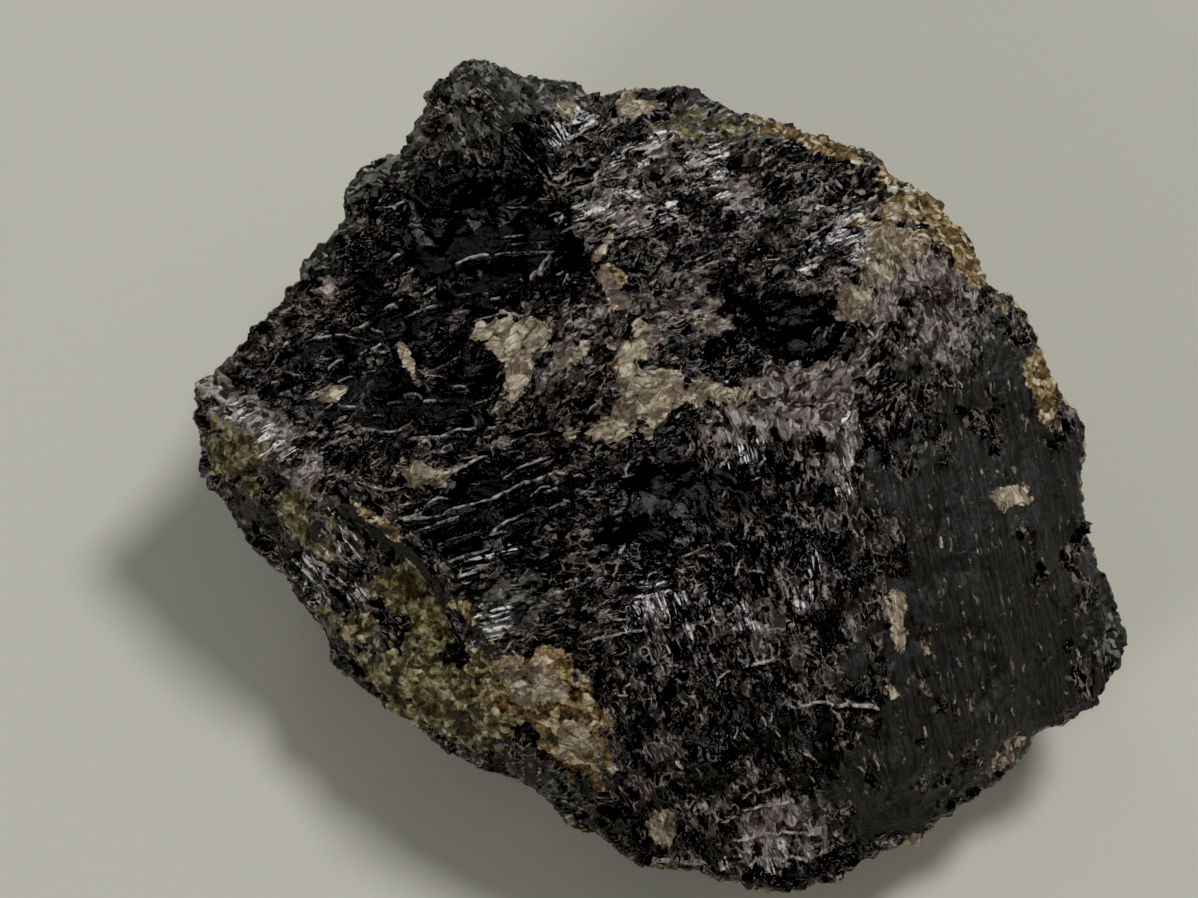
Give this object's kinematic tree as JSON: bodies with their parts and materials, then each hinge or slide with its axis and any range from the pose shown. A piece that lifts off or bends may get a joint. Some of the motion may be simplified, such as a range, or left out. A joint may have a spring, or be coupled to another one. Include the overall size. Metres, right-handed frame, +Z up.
{
  "type": "aegirine quartz",
  "caption": "Rough hand-sized lump of glossy black aegirine and pale quartz with stepped cleavage ledges, a rusty weathered rind and a small flat to rest on.",
  "frame": {"origin": "middle of the flat foot that the stone rests on", "axes": "+X across the stone to the right of its display side, +Y to its back, +Z up from the foot"},
  "size_m": [0.0929, 0.082, 0.0433],
  "materials": {
    "aegirine": "glossy black cleavage with mauve, tan and rusty patches"
  },
  "bodies": {
    "root": {"aegirine_quartz": "aegirine"}
  },
  "joints": []
}
